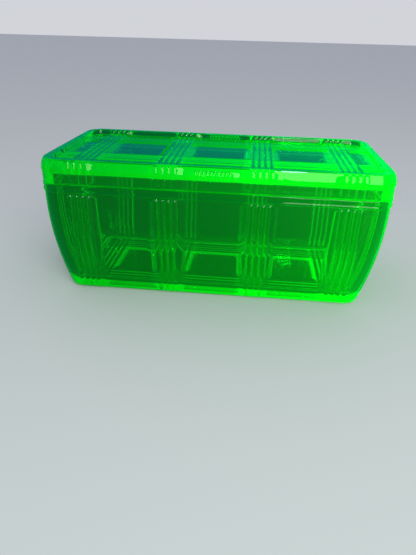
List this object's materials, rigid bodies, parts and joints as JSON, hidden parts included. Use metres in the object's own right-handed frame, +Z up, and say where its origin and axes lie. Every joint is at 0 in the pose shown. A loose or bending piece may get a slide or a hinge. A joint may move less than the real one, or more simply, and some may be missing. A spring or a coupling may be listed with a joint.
{
  "type": "covered glass dish",
  "caption": "Rectangular covered food dish of green glowing pressed glass, with leaning walls, crossed bands of reeds and a lift-off cover with a sunk top.",
  "frame": {"origin": "middle of the face that the dish stands on", "axes": "+X along the length, +Y across the width away from the side seen in front, +Z up"},
  "size_m": [0.2108, 0.1058, 0.087],
  "materials": {
    "uranium_glass": "fire-polished gloss"
  },
  "bodies": {
    "dish": {"dish_body": "uranium_glass"},
    "cover": {"cover": "uranium_glass"}
  },
  "joints": [
    {"name": "cover_lift", "type": "slide", "parent": "dish", "child": "cover", "axis": [0, 0, 1], "range_m": [0, 0.12]}
  ]
}
